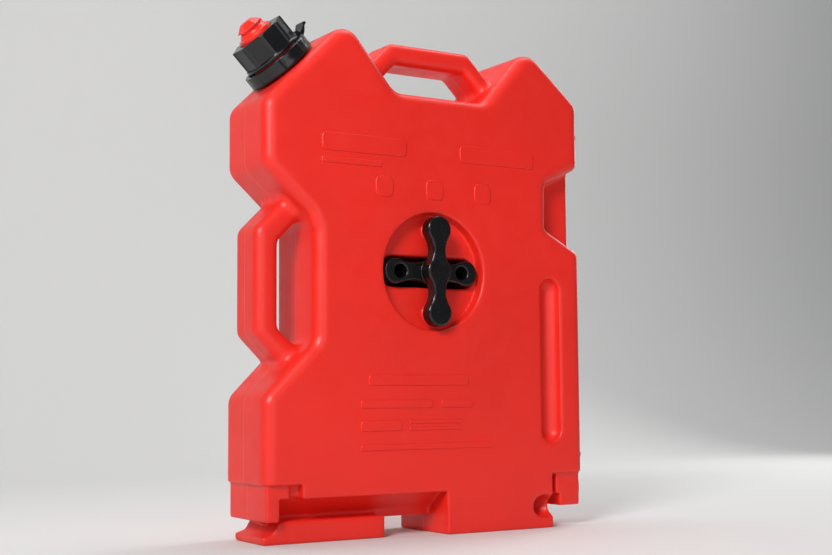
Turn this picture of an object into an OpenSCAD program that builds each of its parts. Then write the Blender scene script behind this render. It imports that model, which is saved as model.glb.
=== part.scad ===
// Flat moulded fuel container held on a wall by a pack mount with a T-handle.
// Millimetres. The origin is the centre of the mount's rear face, where it meets the wall.
// +X is right seen from the front, +Y runs into the wall, +Z is up.

/* [Tank] */
// Overall width of the tank
tank_w = 340; // [336:1:344]
// Thickness of the tank, front face to rear face
tank_d = 84; // [82:1:88]
// Gap between the wall and the tank's rear face
tank_gap = 6; // [6:0.5:8]
// Thickness of the moulded wall
wall = 5; // [4:0.5:6]
// Size of the bevel along the front and rear edges
edge = 9; // [6:1:10]
// Height of the top of the two peaks above the mount's axis
top_z = 216; // [214:1:218]
// Depth of the feet below the mount's axis
foot_z = 237.5; // [236:0.5:240]

/* [Handles in the tank] */
// Thickness of the side grip, front to rear
side_grip_d = 47; // [40:1:52]
// Width of the side grip
side_grip_w = 23; // [20:1:25]
// Thickness of the top grip, front to rear
top_grip_d = 44; // [38:1:50]
// Height of the top grip
top_grip_h = 20; // [16:1:22]

/* [Recess and slot] */
// Radius of the round front recess
recess_r = 53.25; // [52:0.25:56]
// Depth of the recess
recess_depth = 11; // [9:0.5:12]
// Length of the slot that the mount passes through
slot_l = 103; // [102:0.5:106]
// Height of the slot
slot_h = 27.6; // [26:0.2:30]

/* [Mount] */
// Distance between the two wall bolts
bolt_spacing = 65.6; // [60:0.2:68]
// Radius of the hole for each wall bolt
bolt_hole_r = 3.3; // [2.7:0.1:3.6]
// Radius of the deep counterbore around each wall bolt
counterbore_r = 6.25; // [5.5:0.25:6.5]
// Height of the tower above the wall
tower_h = 85; // [80:0.5:87]
// Radius of the tower's two end lobes
tower_lobe_r = 11.7; // [11:0.1:12.5]
// Radius of the handle's thread
stud_r = 5; // [4:0.5:5]

/* [T-handle] */
// Distance between the handle's end lobe centres
handle_span = 75.8; // [70:0.2:78]
// Radius of each lobe
handle_lobe_r = 12.3; // [11:0.1:13]
// Half the width of the waist between two lobes
handle_waist = 6.4; // [5:0.1:8]
// Thickness of the handle
handle_t = 12.6; // [10:0.2:14]

/* [Neck and cap] */
// Outer radius of the threaded neck
neck_r = 22.5; // [22:0.25:23]
// Bore radius of the neck
neck_bore_r = 18; // [17:0.25:18.5]
// Height of the neck above the sloping shoulder
neck_h = 30; // [28:0.5:31]
// Number of flats on the collar
collar_flats = 8; // [6:1:10]
// Corner radius of the collar
collar_r = 27.4; // [26.5:0.1:28]
// Outer radius of the lock ring
lock_r = 33; // [31:0.5:34]
// Length of the stored spout below the shoulder
spout_l = 118; // [100:1:125]

/* [Hidden] */
$fn = 64;

red = [0.86, 0.13, 0.08];
dark_red = [0.72, 0.08, 0.06];
black = [0.07, 0.07, 0.08];
graphite = [0.16, 0.16, 0.17];
steel = [0.66, 0.67, 0.69];
rubber = [0.11, 0.11, 0.12];

rear_y = -tank_gap;
front_y = -tank_gap - tank_d;
mid_y = -tank_gap - tank_d / 2;
half_w = tank_w / 2;

// The shoulder slopes at 45 degrees: on its surface z - x is constant.
shoulder = 313;
neck_x = -132.4;
neck_z = neck_x + shoulder;

// Heights along the neck's axis, from the shoulder.
ring_z = 2;
ring_h = 12;
collar_z = 15;
collar_skirt = 3;
collar_top = 38.8;
gasket_t = 1.5;
flange_z = neck_h + gasket_t;
flange_t = 3.4;
collar_bore_r = neck_r + 0.3;
tube_r = 13;
tube_wall = 2;
sleeve_r = 15.5;
sleeve_top = -70;
spring_top = -31;
disc_z = -spout_l - 10;
sleeve_end = disc_z - 5;

// Distances out from the wall along the mount's axis.
plate_t = 4.5;
pad_t = 1.5;
insert_z = 45;
insert_r = 8;
clip_pocket_r = 9;
clip_pocket_z = 40;
clip_z = 33.8;
clip_t = 1.2;
washer_t = 1.8;
handle_z = tower_h + 2;
land_gap = 0.1;
land_r = 7;
bolt_seat_z = 14;

// ---------- outline helpers ----------

function unit(v) = v / norm(v);
function turn_by(v, a) = [v.x * cos(a) - v.y * sin(a), v.x * sin(a) + v.y * cos(a)];

// Points of one rounded corner at b, between a and c, with radius r.
function corner(a, b, c, r, steps) =
    r == 0 ? [b] :
    let (d1 = unit(b - a),
         d2 = unit(c - b),
         side = sign(cross(d1, d2)),
         turn = acos(max(-1, min(1, d1 * d2))),
         start = b - d1 * r * tan(turn / 2),
         centre = start + side * r * [-d1.y, d1.x])
    [for (k = [0:steps]) centre + turn_by(start - centre, side * turn * k / steps)];

// A closed outline from corners given as [x, z, radius].
function rounded(p, steps = 3) =
    let (n = len(p))
    [for (i = [0:n - 1])
        each corner([p[(i + n - 1) % n][0], p[(i + n - 1) % n][1]], [p[i][0], p[i][1]],
            [p[(i + 1) % n][0], p[(i + 1) % n][1]], p[i][2], steps)];

// The same outline moved inwards by d, for an outline that runs anticlockwise.
function inset(p, d) =
    let (n = len(p))
    [for (i = [0:n - 1])
        let (d1 = unit(p[i] - p[(i + n - 1) % n]),
             d2 = unit(p[(i + 1) % n] - p[i]),
             n1 = [-d1.y, d1.x],
             n2 = [-d2.y, d2.x])
        p[i] + d * (n1 + n2) / (1 + n1 * n2)];

// A slab in the XZ plane between y0 and y1.
module slab(outline, y0, y1) {
    translate([0, y1, 0]) rotate([90, 0, 0]) linear_extrude(y1 - y0) polygon(outline);
}

module block(x0, x1, y0, y1, z0, z1) {
    translate([x0, y0, z0]) cube([x1 - x0, y1 - y0, z1 - z0]);
}

// Local +Z points out along the neck, away from the tank.
module on_neck() {
    translate([neck_x, mid_y, neck_z]) rotate([0, -45, 0]) children();
}

// Local +Z points out from the wall, along the mount's axis; local Y is up.
module on_mount() {
    rotate([90, 0, 0]) children();
}

module ring(r_out, r_in, z0, z1) {
    translate([0, 0, z0]) rotate_extrude() translate([r_in, 0]) square([r_out - r_in, z1 - z0]);
}

module obround(length, height) {
    r = height / 2;
    square([length - height, height], center = true);
    for (s = [-1, 1]) translate([s * (length / 2 - r), 0]) circle(r);
}

// Points of an arc about c, from angle a0 up to but not including a1.
function arc(c, r, a0, a1, steps) =
    [for (k = [0:steps - 1]) let (a = a0 + (a1 - a0) * k / steps) c + r * [cos(a), sin(a)]];

// Three round lobes in a row, joined by waists with hollow sides, as one outline.
function lobed(span, r, waist) =
    let (half = span / 2,
         hollow = (half * half / 4 + waist * waist - r * r) / (2 * (r - waist)),
         y = waist + hollow,
         a = atan2(y, half / 2))
    concat(
        arc([half, 0], r, a - 180, 180 - a, 20),
        arc([half / 2, y], hollow, -a, a - 180, 8),
        arc([0, 0], r, a, 180 - a, 6),
        arc([-half / 2, y], hollow, -a, a - 180, 8),
        arc([-half, 0], r, a, 360 - a, 20),
        arc([-half / 2, -y], hollow, 180 - a, a, 8),
        arc([0, 0], r, 180 + a, 360 - a, 6),
        arc([half / 2, -y], hollow, 180 - a, a, 8));

// ---------- tank ----------

// Side view outline, anticlockwise seen from the front, as [x, z, corner radius].
body_corners = [
    [12.2, -199, 0], [12.2, -foot_z, 0], [133, -foot_z, 0], [131, -186.5, 0], [half_w, -186.5, 0],
    [half_w, 25.5, 12], [130, 47.5, 12], [131, 89.5, 12], [half_w, 108.5, 12],
    [half_w, 171.5, 14], [109, top_z + 6.3, 15.7], [57.7, 163, 14], [-37.5, 163, 18],
    [-88.3, top_z + 7.7, 15.8], [-half_w, shoulder - half_w, 14],
    [-half_w, 86.5, 14], [-126, 46.5, 10], [-120.5, 33, 8], [-120.5, -63.5, 12], [-half_w, -113, 14],
    [-half_w, -187, 0], [-134, -187, 0], [-134, -199, 0]];
body_outline = rounded(body_corners);

// The round moulded edge goes in steps: each slab is smaller and reaches nearer the face.
module body_solid() {
    for (drop = [1, 0.55, 0.25, 0.08, 0]) {
        side = edge * drop;
        in = edge - sqrt(edge * edge - (edge - side) * (edge - side));
        slab(inset(body_outline, in * 0.75), front_y + side, rear_y - side);
    }
}

side_grip_leg = side_grip_w * sqrt(2);
side_grip_top = 33;
side_grip_bottom = -58.5;
side_grip_outline = rounded([
    [-half_w + 0.4, side_grip_top, 10], [-half_w + 0.4, side_grip_bottom, 10],
    [-125, side_grip_bottom - half_w + 125, 0], [-112, side_grip_bottom - half_w + 112 + side_grip_leg, 0],
    [-half_w + side_grip_w, side_grip_bottom + 5, 8], [-half_w + side_grip_w, side_grip_top - 10.5, 8],
    [-112, side_grip_top + half_w - 112 - side_grip_leg, 0], [-125, side_grip_top + half_w - 125, 0]]);

top_grip_z = 213.5;
top_grip_outline = rounded([
    [54, top_grip_z, 8], [-32, top_grip_z, 8], [-70, top_grip_z - 38, 0], [-62, top_grip_z - 56, 0],
    [-26, top_grip_z - top_grip_h, 6], [48, top_grip_z - top_grip_h, 6],
    [84, top_grip_z - 56, 0], [92, top_grip_z - 38, 0]]);

web_outline = [[120, 10], [half_w - 0.4, 10], [half_w - 0.4, 124], [120, 124]];
web_d = 44;

module grips(shrink) {
    slab(inset(side_grip_outline, shrink), mid_y - side_grip_d / 2 + shrink, mid_y + side_grip_d / 2 - shrink);
    slab(inset(top_grip_outline, shrink), mid_y - top_grip_d / 2 + shrink, mid_y + top_grip_d / 2 - shrink);
    slab(inset(web_outline, shrink), mid_y - web_d / 2 + shrink, mid_y + web_d / 2 - shrink);
}

// Bottom of the tank: sloping hollow above the keel, keel with a hooked end, and recessed corner blocks.
keel_top = -218;
gap_top = -220;
block_inset = 3.5;
module sloped_bottom() {
    x0 = -158;
    x1 = 14;
    translate([x0, 0, 0]) rotate([90, 0, 90]) linear_extrude(x1 - x0)
        polygon([[front_y + edge, -198.5], [mid_y - 10, -214.6], [mid_y - 10, gap_top], [mid_y + 10, gap_top],
                 [mid_y + 10, -214.6], [rear_y - edge, -198.5], [rear_y - edge, -185], [front_y + edge, -185]]);
}

module keel() {
    slab(rounded([[-46, keel_top, 0], [-150, keel_top, 4], [-156, -228, 6], [-165.7, -231, 1],
                  [-165, -foot_z, 2], [-46, -foot_z, 1]]), mid_y - 29, mid_y + 29);
}

module corner_blocks() {
    y0 = front_y + block_inset;
    y1 = rear_y - block_inset;
    block(-half_w + block_inset, -153.6, y0, y1, keel_top, -180);
    block(-154, -144, y0, y1, -199, -180);
    block(120, half_w - block_inset, y0, y1, -206.6, -180);
    block(142.8, half_w - block_inset, y0, y1, keel_top, -200);
}

strap_r = 10.4;
module strap_notches() {
    for (s = [-1, 1]) translate([124, mid_y + s * tank_d / 2, keel_top + 1])
        rotate([0, 90, -s * 45]) translate([0, 0, -60]) cylinder(r = strap_r, h = 120);
}

// Upright round-bottomed groove, in the front face and in the rear face.
groove_x = 131;
groove_r = 11.5;
groove_top = -13;
groove_l = 133;
module groove(extra = 0) {
    for (y = [front_y, rear_y]) translate([groove_x, y, groove_top]) {
        sphere(r = groove_r + extra);
        translate([0, 0, -groove_l]) cylinder(r = groove_r + extra, h = groove_l);
        translate([0, 0, -groove_l]) sphere(r = groove_r + extra);
    }
}

rear_recess = 4;
module recess_cuts() {
    on_mount() {
        translate([0, 0, -front_y - recess_depth]) cylinder(r = recess_r, h = recess_depth + 2);
        translate([0, 0, -rear_y - 1]) cylinder(r = recess_r, h = rear_recess + 1);
        linear_extrude(tank_d + 40) obround(slot_l, slot_h);
    }
}

module recess_walls() {
    on_mount() {
        translate([0, 0, -front_y - recess_depth - wall]) cylinder(r = recess_r + wall, h = recess_depth + wall + 2);
        translate([0, 0, -rear_y - 1]) cylinder(r = recess_r + wall, h = rear_recess + 1 + wall);
        linear_extrude(tank_d + 40) obround(slot_l + 2 * wall, slot_h + 2 * wall);
    }
}

module cavity() {
    difference() {
        union() {
            slab(inset(body_outline, wall), front_y + wall, rear_y - wall);
            grips(wall);
        }
        recess_walls();
        groove(wall - 1);
        translate([124, 0, keel_top + 1]) block(-25, 30, front_y, rear_y, -30, strap_r + wall);
    }
}

module neck_solid() {
    on_neck() translate([0, 0, -14]) cylinder(r = neck_r, h = neck_h + 14);
}

module handle_lands() {
    on_mount() for (s = [-1, 1]) translate([0, s * handle_span / 2, -front_y - recess_depth - 1])
        cylinder(r = land_r, h = handle_z + front_y + recess_depth + 1 - land_gap);
}

module side_nubs() {
    for (z = [140.6, -170.2]) translate([half_w - 3, front_y + 14, z]) rotate([0, 90, 0]) cylinder(r = 5.5, h = 6);
}

module tank_shell() {
    color(red) difference() {
        union() {
            difference() {
                union() {
                    body_solid();
                    grips(0);
                    sloped_bottom();
                    corner_blocks();
                    keel();
                    neck_solid();
                    side_nubs();
                }
                recess_cuts();
                groove();
                strap_notches();
            }
            handle_lands();
        }
        cavity();
        on_neck() translate([0, 0, -30]) cylinder(r = neck_bore_r, h = 80);
    }
}

// ---------- mount ----------

plate_outline = rounded([[75, -30, 12], [75, 30, 12], [-75, 30, 12], [-75, -30, 12]], 4);

tower_span = 76;
tower_waist = 8.2;
module tower_head(extra = 0) {
    polygon(lobed(tower_span, tower_lobe_r + extra, tower_waist + extra));
}

module mount_tower() {
    color(black) on_mount() difference() {
        union() {
            linear_extrude(plate_t) polygon(plate_outline);
            linear_extrude(tower_h - 0.8) tower_head();
            linear_extrude(tower_h) tower_head(-0.8);
        }
        for (s = [-1, 1]) translate([s * bolt_spacing / 2, 0, 0]) {
            translate([0, 0, -1]) cylinder(r = bolt_hole_r, h = tower_h);
            translate([0, 0, bolt_seat_z]) cylinder(r = counterbore_r, h = tower_h);
            translate([0, 0, tower_h - 1.2]) cylinder(r1 = counterbore_r, r2 = counterbore_r + 1.3, h = 1.3);
        }
        translate([0, 0, -1]) cylinder(r = clip_pocket_r, h = clip_pocket_z + 1);
        cylinder(r = stud_r + 0.4, h = tower_h + 1);
        translate([0, 0, insert_z]) cylinder(r = insert_r, h = tower_h);
    }
}

module tower_pad() {
    color(rubber) on_mount() difference() {
        translate([0, 0, plate_t]) linear_extrude(pad_t) polygon(inset(plate_outline, 1));
        linear_extrude(tower_h) tower_head(0.4);
    }
}

module centre_insert() {
    color(steel) on_mount() difference() {
        ring(insert_r, stud_r + 0.05, insert_z, tower_h);
        ring(insert_r + 1, insert_r - 0.5, insert_z + 18, insert_z + 20);
    }
}

// ---------- T-handle ----------

module tee_handle() {
    bevel = 1.1;
    color(black) on_mount() rotate([0, 0, 90]) difference() {
        union() {
            translate([0, 0, handle_z + bevel]) linear_extrude(handle_t - 2 * bevel)
                polygon(lobed(handle_span, handle_lobe_r, handle_waist));
            translate([0, 0, handle_z]) linear_extrude(handle_t)
                polygon(lobed(handle_span, handle_lobe_r - bevel, handle_waist - bevel));
        }
        translate([0, 0, handle_z - 1]) cylinder(r = stud_r, h = 9);
    }
}

module handle_stud() {
    color(steel) on_mount() difference() {
        translate([0, 0, clip_z - 3]) cylinder(r = stud_r, h = handle_z + 8 - clip_z + 3);
        ring(stud_r + 1, stud_r - 0.8, clip_z, clip_z + clip_t);
    }
}

module stud_clip() {
    color(graphite) on_mount() difference() {
        ring(clip_pocket_r - 0.8, stud_r - 0.8, clip_z, clip_z + clip_t);
        translate([-2, -clip_pocket_r - 1, clip_z - 1]) cube([4, clip_pocket_r - 2, clip_t + 2]);
    }
}

module thrust_washer() {
    color(graphite) on_mount() ring(handle_lobe_r + 0.7, stud_r + 0.3, handle_z - washer_t, handle_z);
}

// ---------- neck, cap and stored spout ----------

module collar_nut() {
    rib = 1.6;
    color(black) on_neck() difference() {
        union() {
            translate([0, 0, collar_z + collar_skirt]) rotate([0, 0, 180 / collar_flats])
                cylinder(r = collar_r - rib, h = collar_top - collar_z - collar_skirt, $fn = collar_flats);
            translate([0, 0, collar_z]) cylinder(r = collar_r + 1, h = collar_skirt);
            for (i = [0:collar_flats - 1]) rotate([0, 0, (i + 0.5) * 360 / collar_flats])
                translate([collar_r - rib - 2.4, -2.2, collar_z + 1])
                    cube([rib + 2.4, 4.4, collar_top - collar_z - 1]);
        }
        translate([0, 0, collar_z - 1]) cylinder(r = collar_bore_r, h = flange_z + flange_t - collar_z + 1.1);
        translate([0, 0, collar_z]) cylinder(r = 17.2, h = collar_top);
    }
}

lever_x = 30.3;
lever_z = 8;
lever_w = 14;
pin_r = 1.5;

module lock_ring() {
    gap = lever_w + 1;
    color(black) on_neck() difference() {
        union() {
            ring(lock_r, neck_r + 0.02, ring_z, ring_z + 3);
            ring(lock_r, lock_r - 4.5, ring_z, ring_z + ring_h);
        }
        for (a = [70, 115, 245, 290]) rotate([0, 0, a])
            translate([lock_r - 0.8, -0.4, ring_z - 1]) cube([2, 0.8, ring_h + 2]);
        translate([lever_x - 4.5, -gap / 2, ring_z + 2.5]) cube([12, gap, ring_h]);
        translate([lever_x, 0, lever_z]) rotate([90, 0, 0]) cylinder(r = pin_r, h = 21, center = true);
    }
}

lever_outline = [[-1.3, 4.8], [-1.3, 10], [1.4, 10.6], [2.6, 6.6], [6.4, 8.2], [11.4, 12.2], [14.2, 10.8],
    [13.6, 9.2], [11, 8.4], [7.2, 4.6], [3.4, 2.2], [2.8, -1.4], [0, -3], [-2.8, -1]];
module lock_lever() {
    color(black) on_neck() translate([lever_x, lever_w / 2, lever_z]) rotate([90, 0, 0]) difference() {
        linear_extrude(lever_w) polygon(lever_outline);
        translate([0, 0, -1]) cylinder(r = pin_r + 0.05, h = lever_w + 2);
    }
}

module lever_pin() {
    color(steel) on_neck() translate([lever_x, 0, lever_z]) rotate([90, 0, 0])
        cylinder(r = pin_r, h = 20.4, center = true);
}

module flange_gasket() {
    color(rubber) on_neck() ring(neck_r - 0.4, neck_bore_r + 0.2, neck_h, flange_z);
}

boss_r = 16.6;
module spout_base() {
    color(red) on_neck() difference() {
        union() {
            translate([0, 0, flange_z]) cylinder(r = neck_r - 0.4, h = flange_t);
            translate([0, 0, 8]) cylinder(r = boss_r, h = 34);
            translate([0, 0, 42]) cylinder(r1 = 14.5, r2 = 12, h = 3.5);
            translate([9.5, -2.6, 40]) cube([4, 5.2, 7]);
        }
        translate([0, 0, 7]) cylinder(r = tube_r, h = 24);
        translate([0, 0, 30]) cylinder(r = tube_r - tube_wall, h = 8);
        translate([0, 0, 30]) cylinder(r = 7, h = 20);
    }
}

module spout_plug() {
    color(dark_red) on_neck() difference() {
        union() {
            translate([0, 0, 38]) cylinder(r = 7, h = 8);
            translate([0, 0, 45.5]) rotate([0, 0, 30]) cylinder(r = 10.8, h = 4.5, $fn = 6);
            translate([0, 0, 49.8]) rotate([0, 0, 30]) cylinder(r1 = 10.7, r2 = 6.2, h = 3.7, $fn = 6);
        }
        ring(8, 6, 40, 42);
    }
}

module plug_oring() {
    color(rubber) on_neck() translate([0, 0, 41]) rotate_extrude() translate([6.5, 0]) circle(0.5, $fn = 24);
}

module spout_tube() {
    color(dark_red) on_neck() difference() {
        union() {
            translate([0, 0, -spout_l]) cylinder(r = tube_r, h = spout_l + 31);
            ring(sleeve_r + 0.5, tube_r - 1, spring_top, spring_top + 3);
        }
        translate([0, 0, -spout_l - 1]) cylinder(r = tube_r - tube_wall, h = spout_l + 40);
    }
}

module vent_tube() {
    color(graphite) on_neck() translate([0, 8.6, 0]) ring(2.2, 1.4, -spout_l + 6, 28);
}

module valve_stem() {
    spider_z = -spout_l + 20;
    color(steel) on_neck() {
        translate([0, 0, disc_z]) cylinder(r = 2, h = spider_z + 3 - disc_z);
        for (a = [0, 120, 240]) rotate([0, 0, a + 30]) translate([0, -1, spider_z])
            cube([tube_r - tube_wall - 0.1, 2, 3]);
    }
}

module valve_disc() {
    color(black) on_neck() difference() {
        translate([0, 0, disc_z - 4]) cylinder(r = 9.5, h = 6);
        translate([0, 0, disc_z]) cylinder(r = 2, h = 10);
        ring(12, 8.4, disc_z - 2, disc_z);
    }
}

module valve_seal() {
    color(rubber) on_neck() ring(10.2, 8.4, disc_z - 2, disc_z);
}

// The sleeve closes round the valve disc at its end and slides back to open it.
module nozzle_sleeve() {
    color(black) on_neck() difference() {
        union() {
            translate([0, 0, sleeve_end]) cylinder(r1 = 14, r2 = sleeve_r, h = 8);
            translate([0, 0, sleeve_end + 8]) cylinder(r = sleeve_r, h = sleeve_top - sleeve_end - 8);
            translate([sleeve_r - 1, -3, sleeve_top - 30]) cube([4, 6, 12]);
        }
        translate([0, 0, disc_z + 1]) cylinder(r = tube_r + 0.1, h = 200);
        translate([0, 0, sleeve_end - 1]) cylinder(r = 10.3, h = 60);
    }
}

// A coil spring: one square section swept along a helix.
spring_turns = 7;
wire = 0.9;
module sleeve_spring() {
    steps = 14;
    coil_r = tube_r + 1.4;
    bottom = sleeve_top + wire;
    pitch = (spring_top - wire - bottom) / spring_turns;
    count = spring_turns * steps;
    section = [[-wire, -wire], [wire, -wire], [wire, wire], [-wire, wire]];
    points = [for (k = [0:count]) let (a = 360 * k / steps) for (s = section)
        [(coil_r + s.x) * cos(a), (coil_r + s.x) * sin(a), bottom + pitch * k / steps + s.y]];
    faces = concat([[3, 2, 1, 0]],
        [for (k = [0:count - 1]) for (i = [0:3])
            [4 * k + i, 4 * k + (i + 1) % 4, 4 * (k + 1) + (i + 1) % 4, 4 * (k + 1) + i]],
        [[for (i = [0:3]) 4 * count + i]]);
    color(steel) on_neck() polyhedron(points, faces, convexity = 12);
}

tank_shell();
mount_tower();
tower_pad();
centre_insert();
tee_handle();
handle_stud();
stud_clip();
thrust_washer();
collar_nut();
lock_ring();
lock_lever();
lever_pin();
flange_gasket();
spout_base();
spout_plug();
plug_oring();
spout_tube();
vent_tube();
valve_stem();
valve_disc();
valve_seal();
nozzle_sleeve();
sleeve_spring();
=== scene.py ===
import math

import bpy
import numpy as np
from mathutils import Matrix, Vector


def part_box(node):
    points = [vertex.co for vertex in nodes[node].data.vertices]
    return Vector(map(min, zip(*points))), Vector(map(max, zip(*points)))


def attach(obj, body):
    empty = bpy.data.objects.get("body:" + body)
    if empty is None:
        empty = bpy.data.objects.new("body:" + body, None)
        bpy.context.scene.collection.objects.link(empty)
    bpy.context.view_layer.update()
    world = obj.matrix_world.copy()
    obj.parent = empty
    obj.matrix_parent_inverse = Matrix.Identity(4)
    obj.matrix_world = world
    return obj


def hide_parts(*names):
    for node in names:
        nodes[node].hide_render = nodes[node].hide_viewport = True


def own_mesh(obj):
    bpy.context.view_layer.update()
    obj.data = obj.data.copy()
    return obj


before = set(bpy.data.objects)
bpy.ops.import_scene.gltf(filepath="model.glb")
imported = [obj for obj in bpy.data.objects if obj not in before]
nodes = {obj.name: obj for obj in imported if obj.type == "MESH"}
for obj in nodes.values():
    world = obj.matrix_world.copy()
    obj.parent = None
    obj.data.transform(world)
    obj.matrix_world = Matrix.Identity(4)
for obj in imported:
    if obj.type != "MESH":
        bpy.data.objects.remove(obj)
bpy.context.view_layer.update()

import openvdb
from mathutils import Matrix, Vector

MM = 0.001


# ---------- places and sizes, in millimetres, taken from the CAD parts where they hold them ----------

def box_mm(node):
    """The low and high corners of a CAD node's box."""
    lo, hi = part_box(node)
    return Vector(lo) / MM, Vector(hi) / MM


tank_lo, tank_hi = box_mm("tank_shell")
tower_lo = box_mm("mount_tower")[0]
tee_lo, tee_hi = box_mm("tee_handle")
washer_lo, washer_hi = box_mm("thrust_washer")

# The tank's half width, its two faces, its middle and its lowest edge.
SIDE = -tank_lo.x
FRONT = tank_lo.y
REAR = tank_hi.y
MID = (FRONT + REAR) / 2
HALF_DEPTH = (REAR - FRONT) / 2
FOOT = tank_lo.z
# Thickness of the tank's wall, and radius of the round recess in its faces.
WALL = 5.0
RECESS = 53.25

# The tower's height above the wall, and the distance between its two bolts.
TOWER = -tower_lo.y
BOLT_SPACING = 65.6
# Heights above the wall of the mount's plate and of the pad on it.
PLATE_TOP, PAD_TOP = 4.5, 6.0
# How far the outer lobes of the tower and of the handle are from the mount's axis.
TOWER_LOBE = 38.0
TEE_LOBE = 37.9

# The neck's axis: local +Z runs out of the shoulder at 45 degrees.
NECK = Vector((-132.4, MID, 180.6))
NECK_AXES = Matrix.Translation(NECK) @ Matrix.Rotation(math.radians(-45), 4, "Y")
# The mount's axis: local +Z runs out of the wall, local +Y is up.
MOUNT_AXES = Matrix.Rotation(math.radians(90), 4, "X")

# Radius of the neck's bore, and of the holes in the ring and the collar that pass the neck.
NECK_BORE = 18.0
RING_HOLE = 22.55
COLLAR_HOLE = 22.8
# Heights along the neck's axis, from the shoulder.
NECK_TOP = 29.9
RING_BOTTOM, RING_TOP = 2.0, 14.0
SKIRT_BOTTOM, COLLAR_TOP = 15.0, 38.8
FLANGE_BOTTOM, FLANGE_TOP = 31.5, 34.9
BASE_TOP = 45.5
# The lock lever's pin, in the neck's axes.
PIN_X, PIN_Z, PIN_R = 30.3, 8.0, 1.5


# ---------- distance fields: negative inside a shape, in millimetres ----------

TOO_SHORT = 1e-12


class Field:
    """A box of sample points, and the distance formulas of simple shapes on it."""

    def __init__(self, lo, hi, step):
        self.lo = np.array(lo, float)
        self.step = step * 1.0
        counts = np.ceil((np.array(hi, float) - self.lo) / self.step).astype(int) + 1
        axes = [self.lo[i] + self.step * np.arange(counts[i]) for i in range(3)]
        self.x = axes[0].reshape(-1, 1, 1)
        self.y = axes[1].reshape(1, -1, 1)
        self.z = axes[2].reshape(1, 1, -1)

    def cylinder(self, radius, z0, z1, edge=0.0, at=(0.0, 0.0)):
        radial = np.hypot(self.x - at[0], self.y - at[1]) - radius
        return meet(radial, between(self.z, z0, z1), edge)

    def block(self, lo, hi, edge=0.0):
        flat = meet(between(self.x, lo[0], hi[0]), between(self.y, lo[1], hi[1]), edge)
        return meet(flat, between(self.z, lo[2], hi[2]), edge)

    def cone(self, r0, z0, r1, z1):
        slope = (r1 - r0) / (z1 - z0)
        radial = (np.hypot(self.x, self.y) - r0 - slope * (self.z - z0)) / math.hypot(1, slope)
        return np.maximum(radial, between(self.z, z0, z1))

    def rod(self, a, b, radius):
        """A straight rod from a to b with round ends."""
        a, b = np.array(a, float), np.array(b, float)
        d = b - a
        t = ((self.x - a[0]) * d[0] + (self.y - a[1]) * d[1] + (self.z - a[2]) * d[2]) / (d @ d)
        t = np.clip(t, 0, 1)
        return np.sqrt((self.x - a[0] - t * d[0]) ** 2 + (self.y - a[1] - t * d[1]) ** 2
                       + (self.z - a[2] - t * d[2]) ** 2) - radius

    def sector_turn(self, count, start=0.0):
        """Angle from the nearest of count equal directions, in radians, the first of them at start."""
        sector = 2 * math.pi / count
        return (np.arctan2(self.y, self.x) - start + sector / 2) % sector - sector / 2


def between(values, lo, hi):
    """Distance to the slab between two planes."""
    return np.abs(values - (lo + hi) / 2) - (hi - lo) / 2


def outline_distance(points, u, v):
    """Distance from (u, v) to a closed outline."""
    nearest = np.full(np.broadcast(u, v).shape, np.inf)
    inside = np.zeros(nearest.shape, bool)
    for a, b in zip(points, np.roll(points, -1, axis=0)):
        d = b - a
        length = d @ d
        if length < TOO_SHORT:
            continue
        t = np.clip(((u - a[0]) * d[0] + (v - a[1]) * d[1]) / length, 0, 1)
        nearest = np.minimum(nearest, (u - a[0] - t * d[0]) ** 2 + (v - a[1] - t * d[1]) ** 2)
        if d[1] != 0:
            inside ^= ((v >= a[1]) != (v >= b[1])) & (u < a[0] + (v - a[1]) * d[0] / d[1])
    return np.where(inside, -1, 1) * np.sqrt(nearest)


def rounded(corners, steps=8):
    """Points of an outline whose corners are given as (u, v, radius)."""
    points = []
    for i, (u, v, r) in enumerate(corners):
        corner = np.array((u, v), float)
        if r == 0:
            points.append(corner)
            continue
        back = np.array(corners[i - 1][:2], float) - corner
        on = np.array(corners[(i + 1) % len(corners)][:2], float) - corner
        back, on = back / np.linalg.norm(back), on / np.linalg.norm(on)
        half = math.acos(max(-1, min(1, back @ on))) / 2
        middle = (back + on) / np.linalg.norm(back + on)
        centre = corner + middle * r / math.sin(half)
        first = corner + back * r / math.tan(half) - centre
        last = corner + on * r / math.tan(half) - centre
        for k in range(steps + 1):
            p = first * (1 - k / steps) + last * k / steps
            points.append(centre + p * r / np.linalg.norm(p))
    return np.array(points)


def rounded_rectangle(half_u, half_v, r):
    return rounded([(half_u, -half_v, r), (half_u, half_v, r), (-half_u, half_v, r), (-half_u, -half_v, r)])


def lobe_arcs(half, r, waist, u, v):
    """Three lobes of radius r, half apart along u, joined by waists with hollow sides."""
    hollow = (half * half / 4 + waist * waist - r * r) / (2 * (r - waist))
    lobes = np.minimum(np.hypot(np.abs(u) - half, v), np.hypot(u, v)) - r
    neck = hollow - np.hypot(np.abs(u) - half / 2, np.abs(v) - waist - hollow)
    foot = half / 2 * r / math.hypot(half / 2, waist + hollow)
    waists = np.maximum(neck, between(np.abs(u), foot, half - foot))
    return np.minimum(lobes, waists)


def meet(a, b, edge=0.0):
    """Where both shapes are, with the edge between them rounded to a radius."""
    if edge == 0:
        return np.maximum(a, b)
    a, b = a + edge, b + edge
    return np.minimum(np.maximum(a, b), 0) + np.hypot(np.maximum(a, 0), np.maximum(b, 0)) - edge


def join(a, b, blend=0.0):
    """Where either shape is, with a fillet where they come within blend of each other."""
    if blend == 0:
        return np.minimum(a, b)
    h = np.maximum(blend - np.abs(a - b), 0)
    return np.minimum(a, b) - h * h / (4 * blend)


def cut(a, b, blend=0.0):
    """The first shape without the second, with the edge between them softened."""
    return -join(-a, b, blend)


# ---------- materials ----------

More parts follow.
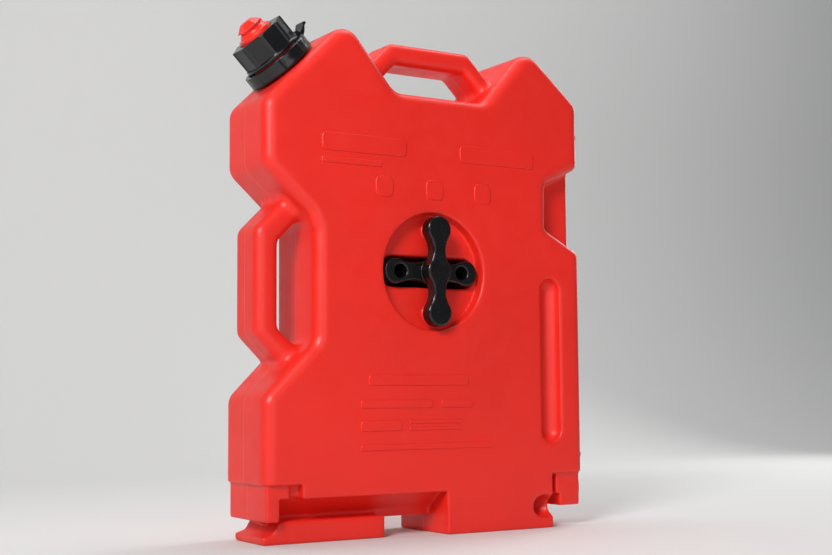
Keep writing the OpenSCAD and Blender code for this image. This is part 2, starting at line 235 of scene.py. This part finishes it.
# Sockets of a Mix node that mixes colours: its factor, its two colours, and its result.
MIX_INPUTS = (0, 6, 7)
MIX_RESULT = 2


def new_material(name, colour, roughness, metallic=0.0, specular=0.5):
    material = bpy.data.materials.new(name)
    material.use_nodes = True
    shader = material.node_tree.nodes["Principled BSDF"]
    shader.inputs["Base Color"].default_value = (*colour, 1)
    shader.inputs["Roughness"].default_value = roughness
    shader.inputs["Metallic"].default_value = metallic
    shader.inputs["Specular IOR Level"].default_value = specular
    return material, material.node_tree, shader


def feed(tree, socket, value):
    """Links a socket to another one, or sets it to a plain value."""
    if isinstance(value, bpy.types.NodeSocket):
        tree.links.new(value, socket)
    else:
        socket.default_value = value


def maths(tree, operation, *values):
    node = tree.nodes.new("ShaderNodeMath")
    node.operation = operation
    for socket, value in zip(node.inputs, values):
        feed(tree, socket, value)
    return node.outputs["Value"]


def mix_colours(tree, factor, first, second):
    node = tree.nodes.new("ShaderNodeMix")
    node.data_type = "RGBA"
    for index, value in zip(MIX_INPUTS, (factor, first, second)):
        feed(tree, node.inputs[index], value)
    return node.outputs[MIX_RESULT]


def remap(tree, value, lo, hi, out_lo, out_hi):
    node = tree.nodes.new("ShaderNodeMapRange")
    tree.links.new(value, node.inputs["Value"])
    for socket, number in zip(("From Min", "From Max", "To Min", "To Max"), (lo, hi, out_lo, out_hi)):
        node.inputs[socket].default_value = number
    return node.outputs["Result"]


def object_place(tree):
    return tree.nodes.new("ShaderNodeTexCoord").outputs["Object"]


def noise(tree, scale, detail=3.0, stretch=(1, 1, 1)):
    mapping = tree.nodes.new("ShaderNodeMapping")
    mapping.inputs["Scale"].default_value = stretch
    texture = tree.nodes.new("ShaderNodeTexNoise")
    texture.inputs["Scale"].default_value = scale
    texture.inputs["Detail"].default_value = detail
    tree.links.new(object_place(tree), mapping.inputs["Vector"])
    tree.links.new(mapping.outputs["Vector"], texture.inputs["Vector"])
    return texture.outputs["Fac"]


def uneven(tree, scale, lo, hi):
    """Noise, whose values are mostly 0.3 to 0.7, spread from lo to hi."""
    return remap(tree, noise(tree, scale), 0.3, 0.7, lo, hi)


def mottle(tree, colour, low, high, scale):
    """Slow light and dark patches over one colour."""
    dark = (*(c * low for c in colour), 1)
    light = (*(min(1, c * high) for c in colour), 1)
    return mix_colours(tree, uneven(tree, scale, 0, 1), dark, light)


def bump(tree, shader, heights):
    """Stacks bumps given as (height socket, strength, distance in metres)."""
    last = None
    for height, strength, distance in heights:
        node = tree.nodes.new("ShaderNodeBump")
        node.inputs["Strength"].default_value = strength
        node.inputs["Distance"].default_value = distance
        tree.links.new(height, node.inputs["Height"])
        if last is not None:
            tree.links.new(last, node.inputs["Normal"])
        last = node.outputs["Normal"]
    tree.links.new(last, shader.inputs["Normal"])


def mould_seam(tree):
    """One on the line where the two halves of the mould met, fading to nothing beside it."""
    split = tree.nodes.new("ShaderNodeSeparateXYZ")
    tree.links.new(object_place(tree), split.inputs["Vector"])
    away = maths(tree, "ABSOLUTE", maths(tree, "SUBTRACT", split.outputs["Y"], MID * MM))
    return remap(tree, away, 0.3 * MM, 1.1 * MM, 1, 0)


def moulded_red():
    """Rotationally moulded polyethylene: waxy, faint orange peel, and a paler line where the mould closed."""
    colour, seam_colour = (0.86, 0.021, 0.0115), (0.92, 0.09, 0.06, 1)
    material, tree, shader = new_material("moulded_red", colour, 0.42)
    shader.inputs["Subsurface Weight"].default_value = 0.05
    shader.inputs["Subsurface Radius"].default_value = (0.004, 0.0008, 0.0004)
    seam = mould_seam(tree)
    faint_seam = maths(tree, "MULTIPLY", seam, 0.55)
    skin = mix_colours(tree, faint_seam, mottle(tree, colour, 0.94, 1.04, 9), seam_colour)
    tree.links.new(skin, shader.inputs["Base Color"])
    tree.links.new(uneven(tree, 60, 0.36, 0.48), shader.inputs["Roughness"])
    fine_grain, orange_peel = noise(tree, 900, 2), noise(tree, 45, 2)
    bump(tree, shader, [(fine_grain, 0.10, 0.0003), (orange_peel, 0.16, 0.0008), (seam, 0.35, 0.0005)])
    return material


def satin(name, colour, roughness, grain):
    """Powder coat or injection-moulded plastic: fine grain with slightly uneven shine."""
    material, tree, shader = new_material(name, colour, roughness)
    tree.links.new(mottle(tree, colour, 0.8, 1.25, 40), shader.inputs["Base Color"])
    tree.links.new(uneven(tree, 120, roughness - 0.05, roughness + 0.07), shader.inputs["Roughness"])
    bump(tree, shader, [(noise(tree, grain, 2), 0.12, 0.0002)])
    return material


def turned_steel():
    """Bright steel with the fine rings that turning leaves."""
    colour = (0.58, 0.59, 0.61)
    material, tree, shader = new_material("turned_steel", colour, 0.3, metallic=1.0)
    tree.links.new(mottle(tree, colour, 0.9, 1.06, 60), shader.inputs["Base Color"])
    bump(tree, shader, [(noise(tree, 300, 2, (0.15, 1, 0.15)), 0.15, 0.0001)])
    return material


def soft_rubber():
    """Matt black rubber with a dusty grain."""
    colour = (0.018, 0.018, 0.019)
    material, tree, shader = new_material("soft_rubber", colour, 0.75, specular=0.3)
    tree.links.new(mottle(tree, colour, 0.8, 1.3, 80), shader.inputs["Base Color"])
    bump(tree, shader, [(noise(tree, 1500, 2), 0.25, 0.0002)])
    return material


# Each material, under the name of the slot that its pieces take their finish from.
finishes = {
    "red_plastic": moulded_red(),
    "spout_red": satin("spout_red", (0.80, 0.022, 0.010), 0.30, 1400),
    "black_metal": satin("satin_coat", (0.0045, 0.0045, 0.005), 0.24, 1800),
    "black_plastic": satin("cap_black", (0.006, 0.006, 0.0075), 0.22, 1100),
    "steel": turned_steel(),
    "rubber": soft_rubber(),
}


# ---------- from shapes to pieces ----------

def add_object(name, data):
    thing = bpy.data.objects.new(name, data)
    bpy.context.scene.collection.objects.link(thing)
    return thing


def new_mesh(name, points, faces, material, axes=Matrix()):
    """A mesh in metres from points in millimetres, which are given in their own axes."""
    mesh = bpy.data.meshes.new(name)
    mesh.from_pydata(points, [], faces)
    mesh.transform(Matrix.Scale(MM, 4) @ axes)
    mesh.materials.append(material)
    return mesh


def add_piece(mesh, body, slot, *cad_nodes):
    """Makes a mesh a piece that rides on a body and stands in for CAD nodes."""
    piece = add_object(mesh.name, mesh)
    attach(piece, body)
    if cad_nodes:
        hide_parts(*cad_nodes)
    return piece


def build(name, body, field, values, slot, cad_node, axes, adaptivity=0.01):
    """Turns a distance field into a smooth piece; adaptivity lets flat places have larger faces."""
    band = 4 * field.step
    grid = openvdb.FloatGrid(background=band)
    grid.copyFromArray(np.clip(values, -band, band).astype(np.float32))
    points, triangles, quads = grid.convertToPolygons(isovalue=0.0, adaptivity=adaptivity)
    points = (points * field.step + field.lo).tolist()
    mesh = new_mesh(name, points, triangles.tolist() + quads.tolist(), finishes[slot], axes)
    mesh.shade_smooth()
    add_piece(mesh, body, slot, cad_node)


# ---------- tank ----------

def tank_outline(f):
    """The body with its notch, shoulders, saddle and side bay; it runs on below the feet."""
    below = FOOT - 60
    profile = rounded([
        (-SIDE, below, 0), (SIDE, below, 0),
        (SIDE, 25.5, 8), (130, 47.5, 5), (131, 89.5, 5), (SIDE, 108.5, 8),
        (SIDE, 171.5, 16), (109, 222.3, 17.5), (57.7, 163, 15), (-37.5, 163, 18),
        (-88.3, 223.7, 17.5), (-SIDE, 143, 16), (-SIDE, 86.5, 16), (-126, 46.5, 12),
        (-120.5, 33, 10), (-120.5, -63.5, 12), (-SIDE, -113, 16)])
    roundover = 11
    return meet(outline_distance(profile, f.x, f.z), between(f.y, FRONT, REAR), roundover)


def trim_below(f, body):
    """Takes away a flange step at each side and the room above the keel, and ends the body at the feet."""
    far = 400
    left_step = [(-far, -187, 0), (-far, -far, 0), (-134, -far, 0), (-134, -187, 0)]
    keel_room = [(-far, -199, 0), (-far, -far, 0), (12.2, -far, 0), (12.2, -199, 0)]
    right_step = [(131, -186.5, 0), (133, -far, 0), (far, -far, 0), (far, -186.5, 0)]
    for corners in (left_step, keel_room, right_step):
        body = cut(body, outline_distance(rounded(corners), f.x, f.z), 1.4)
    return meet(body, FOOT - f.z, 1.5)


def add_grips(f, body):
    """The side grip, the top grip, and the thin web across the right-hand notch."""
    half_side_grip, half_top_grip = 23.5, 22
    depth = np.abs(f.y - MID)
    side_grip = rounded([
        (-169.6, 33, 12), (-169.6, -58.5, 12), (-125, -103.1, 0), (-112, -83.5, 0),
        (-147, -53.5, 10), (-147, 22.5, 10), (-112, 58.5, 0), (-125, 77.6, 0)])
    top_grip = rounded([
        (54, 213.5, 10), (-32, 213.5, 10), (-70, 175.5, 0), (-62, 157.5, 0),
        (-26, 193.5, 7), (48, 193.5, 7), (84, 157.5, 0), (92, 175.5, 0)])
    body = join(body, meet(outline_distance(side_grip, f.x, f.z), depth - half_side_grip, 9), 9)
    body = join(body, meet(outline_distance(top_grip, f.x, f.z), depth - half_top_grip, 8), 8)
    web = f.block((118, MID - half_top_grip, 0), (169.6, MID + half_top_grip, 130), 4)
    return join(body, web, 6)


def add_underside(f, body):
    """The belly that slopes down to a stem, the keel under it with its hooked end, and the corner blocks."""
    half_stem, half_keel = 10, 29
    shoulder = HALF_DEPTH - 9
    half_block = HALF_DEPTH - 4.5
    belly = np.array([
        (MID - shoulder, -196), (MID - half_stem, -213.6), (MID - half_stem, -221),
        (MID + half_stem, -221), (MID + half_stem, -213.6), (MID + shoulder, -196),
        (MID + shoulder, -185), (MID - shoulder, -185)])
    body = join(body, meet(outline_distance(belly, f.y, f.z), between(f.x, -158, 14), 1.5), 2)

    keel = rounded([
        (-46, -218, 1), (-150, -218, 5), (-156, -228, 7),
        (-165.7, -231, 1.5), (-165, FOOT, 2), (-46, FOOT, 2)])
    body = join(body, meet(outline_distance(keel, f.x, f.z), np.abs(f.y - MID) - half_keel, 2.2), 1.5)

    # Corner blocks, as their low and high corners seen from the front.
    for (x0, z0), (x1, z1) in [((-166.5, -218), (-153.6, -175)), ((-154, -199), (-144, -175)),
                               ((118, -206.6), (166.5, -175)), ((142.8, -218), (166.5, -195))]:
        body = join(body, f.block((x0, MID - half_block, z0), (x1, MID + half_block, z1), 1.6), 0.8)

    # The narrow slot between the foot and the right-hand block, at the front and at the rear.
    for y0, y1 in ((FRONT - 2, FRONT + 16), (REAR - 16, REAR + 2)):
        body = cut(body, f.block((133.2, y0, -208), (138.4, y1, -187.6), 1), 0.8)
    return body


def cut_grooves(f, body):
    """On both faces: the long upright groove, and the strap notch that slants in through the foot."""
    groove_x, groove_r = 131, 11.5
    notch_x, notch_z, notch_r, reach = 124, -217, 10.4, 70
    for face in (FRONT, REAR):
        groove = f.rod((groove_x, face, -13), (groove_x, face, -146), groove_r)
        lean = math.copysign(reach, face - MID)
        start, end = (notch_x - reach, face - lean, notch_z), (notch_x + reach, face + lean, notch_z)
        body = cut(body, groove, 2)
        body = cut(body, f.rod(start, end, notch_r), 2)
    return body


def cut_mount_room(f, body):
    """The round recesses, the slot for the tower, and the two lands that the handle clamps."""
    front_depth, rear_depth = 11, 4
    slot_reach, slot_r = 37.7, 13.8
    land_r, land_top, land_bottom = 7, 3.1, 11.1
    outside = np.hypot(f.x, f.z) - RECESS
    body = cut(body, np.maximum(outside, f.y - FRONT - front_depth), 3)
    body = cut(body, np.maximum(outside, REAR - rear_depth - f.y), 2)
    body = cut(body, np.hypot(np.maximum(np.abs(f.x) - slot_reach, 0), f.z) - slot_r, 3)
    for z in (TEE_LOBE, -TEE_LOBE):
        land = meet(np.hypot(f.x, f.z - z) - land_r, between(f.y, FRONT + land_top, FRONT + land_bottom), 0.6)
        body = join(body, land, 1.5)
    return body


def add_neck_and_hollow(f, body):
    """The neck, the bosses on the right-hand side, the fuel space and the bore into it."""
    neck_r, boss_r, boss_y = 22.4, 5.3, FRONT + 14
    dx, dz = (f.x - NECK.x) * math.sqrt(0.5), (f.z - NECK.z) * math.sqrt(0.5)
    along = dz - dx
    off_axis = np.sqrt((dx + dz) ** 2 + (f.y - MID) ** 2)
    body = join(body, meet(off_axis - neck_r, between(along, -13.9, NECK_TOP), 0.8), 2)
    for boss_z in (140.6, -170.2):
        boss = meet(np.hypot(f.y - boss_y, f.z - boss_z) - boss_r, between(f.x, 163.2, 172.8), 1.2)
        body = join(body, boss, 1.5)
    body = cut(body, body + WALL)
    return cut(body, meet(off_axis - NECK_BORE, between(along, -40, 40), 0.8), 1)


def tank():
    margin = 4
    f = Field(np.array(tank_lo) - margin, np.array(tank_hi) + margin, 1.5)
    body = tank_outline(f)
    for stage in (trim_below, add_grips, add_underside, cut_grooves, cut_mount_room, add_neck_and_hollow):
        body = stage(f, body)
    build("tank", "root", f, body, "red_plastic", "tank_shell", Matrix(), adaptivity=0.004)


# ---------- mount and T-handle, in the mount's axes ----------

def tower():
    """The lobed tower on its wall plate, with two deep bolt holes and the bore for the handle's stud."""
    f = Field((-78, -33, -2), (78, 33, TOWER + 2), 0.8)
    below, above = -9, TOWER + 9
    bolt_r, counterbore_r, bolt_seat = 3.3, 6.25, 14
    plate = meet(outline_distance(rounded_rectangle(75, 30, 12), f.x, f.y), between(f.z, 0, PLATE_TOP), 0.8)
    head = meet(lobe_arcs(TOWER_LOBE, 11.7, 8.2, f.x, f.y), between(f.z, 0, TOWER), 1.4)
    shape = np.maximum(join(plate, head, 1.5), -f.z)
    for x in (-BOLT_SPACING / 2, BOLT_SPACING / 2):
        shape = cut(shape, f.cylinder(bolt_r, below, 40, at=(x, 0)))
        shape = cut(shape, f.cylinder(counterbore_r, bolt_seat, above, at=(x, 0)), 1.6)
    clip_pocket = f.cylinder(9, below, 40.6)
    insert_pocket = f.cylinder(8, 45, above)
    stud_bore = f.cylinder(5.4, below, TOWER)
    for hole in (clip_pocket, insert_pocket, stud_bore):
        shape = cut(shape, hole)
    build("tower", "root", f, shape, "black_metal", "mount_tower", MOUNT_AXES)


def mount_pad():
    """The rubber sheet on the wall plate, with an opening round the tower."""
    f = Field((-77, -32, 2), (77, 32, 9), 0.6)
    outline = outline_distance(rounded_rectangle(74, 29, 11), f.x, f.y)
    sheet = meet(outline, between(f.z, PLATE_TOP, PAD_TOP), 0.3)
    opening = lobe_arcs(TOWER_LOBE, 12.1, 8.6, f.x, f.y)
    build("mount_pad", "root", f, cut(sheet, opening), "rubber", "tower_pad", MOUNT_AXES)


def tee():
    """The three-lobed handle, with bevelled edges and a bore for its stud."""
    near, far = -tee_hi.y, -tee_lo.y
    f = Field((-16, -54, near - 2), (16, 54, far + 2), 0.5)
    bevel_depth, stud_r, stud_depth = 1.2, 5, 8
    lobes = lobe_arcs(TEE_LOBE, 12.25, 6.4, f.y, f.x)
    faces = between(f.z, near, far)
    bevel = (lobes + faces + bevel_depth) / math.sqrt(2)
    shape = meet(np.maximum(lobes, bevel), faces, 0.5)
    shape = cut(shape, f.cylinder(stud_r, near - 3, near + stud_depth))
    build("tee", "handle", f, shape, "black_metal", "tee_handle", MOUNT_AXES)


def washer():
    """The washer between the tower and the middle of the handle."""
    near, far = -washer_hi.y, -washer_lo.y
    f = Field((-15, -15, near - 1), (15, 15, far + 1), 0.35)
    outer_r, hole_r = 12.9, 5.3
    shape = cut(f.cylinder(outer_r, near, far, 0.5), f.cylinder(hole_r, near - 2, far + 2), 0.3)
    build("hub_washer", "handle_carrier", f, shape, "black_plastic", "thrust_washer", MOUNT_AXES)


# ---------- cap, lock ring and spout, in the neck's axes ----------

def collar():
    """The eight-sided screw collar, with a rib on each corner and a skirt."""
    f = Field((-31, -31, 12), (31, 31, 41), 0.5)
    below, above = 10, 50
    sides, corner_r, rib_r, half_rib, skirt_r, spout_hole = 8, 27.0, 27.3, 2.2, 28.3, 17.2
    from_axis = np.hypot(f.x, f.y)
    flats = from_axis * np.cos(f.sector_turn(sides)) - corner_r * math.cos(math.pi / sides)
    shape = meet(flats, between(f.z, SKIRT_BOTTOM + 2, COLLAR_TOP), 0.9)
    turn = f.sector_turn(sides, math.pi / sides)
    rib = meet(from_axis * np.cos(turn) - rib_r, np.abs(from_axis * np.sin(turn)) - half_rib, 0.5)
    rib = meet(rib, between(f.z, SKIRT_BOTTOM + 0.7, COLLAR_TOP - 0.1), 0.6)
    shape = join(shape, np.maximum(rib, 22 - from_axis), 0.4)
    shape = join(shape, f.cylinder(skirt_r, SKIRT_BOTTOM, SKIRT_BOTTOM + 3, 0.6), 0.5)
    shape = cut(shape, f.cylinder(COLLAR_HOLE, below, 36))
    shape = cut(shape, f.cylinder(spout_hole, below, above), 1.2)
    build("collar", "collar", f, shape, "black_plastic", "collar_nut", NECK_AXES)


def ring_lock():
    """The ring below the collar, with split lines round its wall and a gap for the lever."""
    f = Field((-35, -35, 0), (35, 35, 16), 0.5)
    above = 20
    outer_r, inner_r, floor_t = 32.95, 28.5, 3
    half_line, line_r = 0.55, 31.9
    floor = f.cylinder(outer_r, RING_BOTTOM, RING_BOTTOM + floor_t, 0.6)
    wall = f.cylinder(outer_r, RING_BOTTOM, RING_TOP, 1.2)
    wall = cut(wall, f.cylinder(inner_r, RING_BOTTOM + 2, above), 1.0)
    shape = join(floor, wall, 0.8)
    shape = cut(shape, f.cylinder(RING_HOLE, 0, above), 0.8)
    for degrees in (70, 115, 160, 200, 245, 290):
        a = math.radians(degrees)
        out = f.x * math.cos(a) + f.y * math.sin(a)
        across = f.y * math.cos(a) - f.x * math.sin(a)
        shape = cut(shape, np.maximum(np.abs(across) - half_line, line_r - out), 0.6)
    lever_gap = f.block((25.8, -7.5, 4.5), (45, 7.5, 30))
    pin_hole = np.maximum(np.hypot(f.x - PIN_X, f.z - PIN_Z) - PIN_R, np.abs(f.y) - 10.5)
    shape = cut(shape, lever_gap, 0.8)
    shape = cut(shape, pin_hole)
    build("ring_lock", "root", f, shape, "black_plastic", "lock_ring", NECK_AXES)


def lever():
    """The lock lever: a nose beside the collar, a thumb tail, and a hole for its pin."""
    f = Field((26, -9, 3), (47, 9, 20), 0.3)
    profile = rounded([
        (29, 12.8, 0.6), (29, 18, 0.8), (31.7, 18.6, 1), (32.9, 14.6, 1.5), (36.7, 16.2, 4),
        (41.7, 20.2, 0.8), (44.5, 18.8, 0.6), (43.9, 17.2, 0.8), (41.3, 16.4, 2), (37.5, 12.6, 3),
        (33.7, 10.2, 2), (33.1, 6.6, 1), (30.3, 5, 2), (27.5, 7, 1.5)])
    half_width, pin_play = 7, 0.05
    shape = meet(outline_distance(profile, f.x, f.z), np.abs(f.y) - half_width, 0.5)
    shape = cut(shape, np.hypot(f.x - PIN_X, f.z - PIN_Z) - PIN_R - pin_play)
    build("lever", "lever", f, shape, "black_plastic", "lock_lever", NECK_AXES)


def base():
    """The red stepped base of the spout, with a flange held inside the collar and a lug on top."""
    f = Field((-24, -24, 6), (24, 24, 49), 0.45)
    bottom, step = 8, 42
    flange_r, body_r, tube_r, ledge_r, plug_hole = 22, 16.55, 13, 11, 7
    flange = f.cylinder(flange_r, FLANGE_BOTTOM, FLANGE_TOP, 0.6)
    shape = join(flange, f.cylinder(body_r, bottom, step, 1.0), 0.6)
    shape = join(shape, f.cone(14.5, step - 0.1, 12, BASE_TOP), 0.8)
    shape = join(shape, f.block((9.5, -2.6, 40), (13.5, 2.6, 47), 0.7), 0.5)
    shape = cut(shape, f.cylinder(tube_r, 0, 31))
    shape = cut(shape, f.cylinder(ledge_r, 30, 38))
    shape = cut(shape, f.cylinder(plug_hole, 30, 50), 0.4)
    build("spout_cap", "spout", f, shape, "spout_red", "spout_base", NECK_AXES)


def plug():
    """The red plug: a six-sided knob with a tapered peak, and a stem with a groove for its ring."""
    f = Field((-13, -13, 36), (13, 13, 55), 0.35)
    sides, slope, stem_r, groove_r = 6, 1.05, 6.95, 6
    flats = np.hypot(f.x, f.y) * np.cos(f.sector_turn(sides))
    knob = meet(flats - 9.3, between(f.z, BASE_TOP, BASE_TOP + 4.6), 0.7)
    taper = (flats - 9.2 + (f.z - BASE_TOP - 4.3) * slope) / math.hypot(1, slope)
    peak = meet(taper, between(f.z, BASE_TOP + 2, BASE_TOP + 8), 0.8)
    shape = join(knob, peak, 0.3)
    shape = join(shape, f.cylinder(stem_r, 38, 46))
    ring_groove = cut(f.cylinder(9, 40, 42), f.cylinder(groove_r, 39, 43))
    build("plug_knob", "spout", f, cut(shape, ring_groove), "spout_red", "spout_plug", NECK_AXES)


def spring():
    """Coil between the tube's shoulder and the sleeve, made at one fixed length."""
    bottom, top, turns, coil, wire = -69.1, -31.9, 7, 14.4, 0.9
    along, around = 20 * turns, 8
    points, faces = [], []
    for k in range(along + 1):
        a = 2 * math.pi * turns * k / along
        rise = bottom + (top - bottom) * k / along
        for i in range(around):
            b = 2 * math.pi * i / around
            reach = coil + wire * math.cos(b)
            points.append((reach * math.cos(a), reach * math.sin(a), rise + wire * math.sin(b)))
    for k in range(along):
        ring, following = k * around, (k + 1) * around
        for i in range(around):
            j = (i + 1) % around
            faces.append((ring + i, following + i, following + j, ring + j))
    faces.append(tuple(range(around)))
    faces.append(tuple(reversed(range(along * around, (along + 1) * around))))
    mesh = new_mesh("coil_spring", points, faces, finishes["steel"], NECK_AXES)
    mesh.shade_smooth()
    piece = add_piece(mesh, "spout", "steel", "sleeve_spring")

    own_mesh(piece)


# ---------- plain raised bars where the tank has moulded lettering ----------

def relief_bar(x0, x1, z0, z1):
    """Points and faces of a low bar with round corners and a bevelled edge, on the front face."""
    height, sunk, bevel_in, bevel_down, steps = 1.1, 0.4, 0.45, 0.35, 5
    corner_share, least_r = 0.28, 0.05
    r = min(z1 - z0, x1 - x0) * corner_share
    corners = ((x1 - r, z1 - r, 0), (x0 + r, z1 - r, 90), (x0 + r, z0 + r, 180), (x1 - r, z0 + r, 270))
    levels = ((0.0, sunk), (0.0, bevel_down - height), (bevel_in, -height))
    points, faces = [], []
    for shrink, out in levels:
        reach = max(least_r, r - shrink)
        for x, z, start in corners:
            for k in range(steps + 1):
                a = math.radians(start + 90 * k / steps)
                points.append((x + reach * math.cos(a), FRONT + out, z + reach * math.sin(a)))
    count = len(corners) * (steps + 1)
    for level in range(len(levels) - 1):
        for k in range(count):
            a, b = level * count + k, level * count + (k + 1) % count
            faces.append((a, b, b + count, a + count))
    faces.append(tuple(reversed(range(count))))
    faces.append(tuple(range(len(points) - count, len(points))))
    return points, faces


def relief():
    """Bars and rounded squares, as their left, right, lower and upper edges."""
    upper = [(-116, -30, 103, 119), (28, 112, 103, 119), (-116, -56, 92, 97),
             (-62, -44, 66, 84), (-9, 9, 66, 84), (44, 62, 66, 84)]
    lower = [(-70, 35, -103, -94), (-78, -4, -123, -116), (6, 40, -123, -116), (-78, -36, -143, -134),
             (-28, 28, -137, -134), (-28, 28, -143, -140), (-78, 62, -160, -155)]
    points, faces = [], []
    for edges in upper + lower:
        bar_points, bar_faces = relief_bar(*edges)
        faces += [tuple(i + len(points) for i in face) for face in bar_faces]
        points += bar_points
    add_piece(new_mesh("front_relief", points, faces, finishes["red_plastic"]), "root", "red_plastic")


for make_piece in (tank, tower, mount_pad, tee, washer, collar, ring_lock, lever, base, plug, spring, relief):
    make_piece()

# The CAD nodes that stay: they show through a gap, or when the cap is off.
kept_nodes = {
    "steel": ("centre_insert", "handle_stud", "lever_pin", "valve_stem"),
    "black_metal": ("stud_clip",),
    "black_plastic": ("vent_tube", "nozzle_sleeve", "valve_disc"),
    "spout_red": ("spout_tube",),
    "rubber": ("flange_gasket", "plug_oring", "valve_seal"),
}
for slot, names in kept_nodes.items():
    for name in names:
        materials = nodes[name].data.materials
        materials.clear()
        materials.append(finishes[slot])


# ---------- floor, backdrop, light and camera, in metres ----------

def sweep():
    """Floor that curves up into a backdrop behind the object."""
    front, back, radius, half_width, height = -4.0, 1.6, 0.8, 4.0, 4.0
    profile = [(front, 0.0), (back - radius, 0.0)]
    for degrees in range(6, 91, 6):
        a = math.radians(degrees)
        profile.append((back - radius + radius * math.sin(a), radius - radius * math.cos(a)))
    profile.append((back, height))
    points = [(side * half_width, y, FOOT * MM + z) for y, z in profile for side in (-1, 1)]
    faces = [(2 * k, 2 * k + 1, 2 * k + 3, 2 * k + 2) for k in range(len(profile) - 1)]
    mesh = bpy.data.meshes.new("studio_sweep")
    mesh.from_pydata(points, [], faces)
    mesh.shade_smooth()
    paper, tree, shader = new_material("studio_paper", (0.74, 0.74, 0.73), 0.85, specular=0.2)
    bump(tree, shader, [(noise(tree, 400, 2), 0.05, 0.0004)])
    mesh.materials.append(paper)
    add_object("studio_sweep", mesh)


def area_light(name, place, target, size, power):
    data = bpy.data.lights.new(name, "AREA")
    data.shape = "RECTANGLE"
    data.size, data.size_y = size
    data.energy = power
    light = add_object(name, data)
    light.location = place
    light.rotation_euler = (Vector(target) - Vector(place)).to_track_quat("-Z", "Y").to_euler()


def lights():
    centre, backdrop = (0, -0.05, 0), (1.3, 1.6, 0.4)
    area_light("key", (-1.5, -1.25, 1.0), centre, (0.6, 0.6), 35)
    area_light("front_fill", (-0.3, -2.2, 0.2), centre, (1.0, 1.2), 6)
    area_light("top", (0.1, 0.1, 1.5), centre, (1.4, 0.5), 9)
    area_light("rim", (1.3, 0.5, 0.6), centre, (0.4, 1.0), 5)
    area_light("backdrop", (1.2, 0.2, 1.9), backdrop, (1.6, 0.6), 13)


def camera():
    """The camera that the photograph was fitted with."""
    place = (-0.66478, -1.13114, -0.10852)
    yaw, pitch, roll = (math.radians(a) for a in (31.7586, 4.7834, -0.3841))
    forward = Vector((math.sin(yaw) * math.cos(pitch), math.cos(yaw) * math.cos(pitch), math.sin(pitch)))
    level = Vector((math.cos(yaw), -math.sin(yaw), 0))
    upright = level.cross(forward)
    right = math.cos(roll) * level + math.sin(roll) * upright
    up = math.cos(roll) * upright - math.sin(roll) * level
    data = bpy.data.cameras.new("camera")
    data.lens = 58.90
    data.sensor_width = 36
    data.clip_start = 0.01
    eye = add_object("camera", data)
    eye.matrix_world = Matrix.Translation(place) @ Matrix((right, up, -forward)).transposed().to_4x4()
    bpy.context.scene.camera = eye


def surroundings():
    """Faint cool light from all round."""
    world = bpy.data.worlds.new("studio")
    world.use_nodes = True
    background = world.node_tree.nodes["Background"]
    background.inputs["Color"].default_value = (0.9, 0.93, 1.0, 1)
    background.inputs["Strength"].default_value = 0.13
    bpy.context.scene.world = world


sweep()
lights()
camera()
surroundings()
bpy.context.scene.view_settings.view_transform = "Standard"
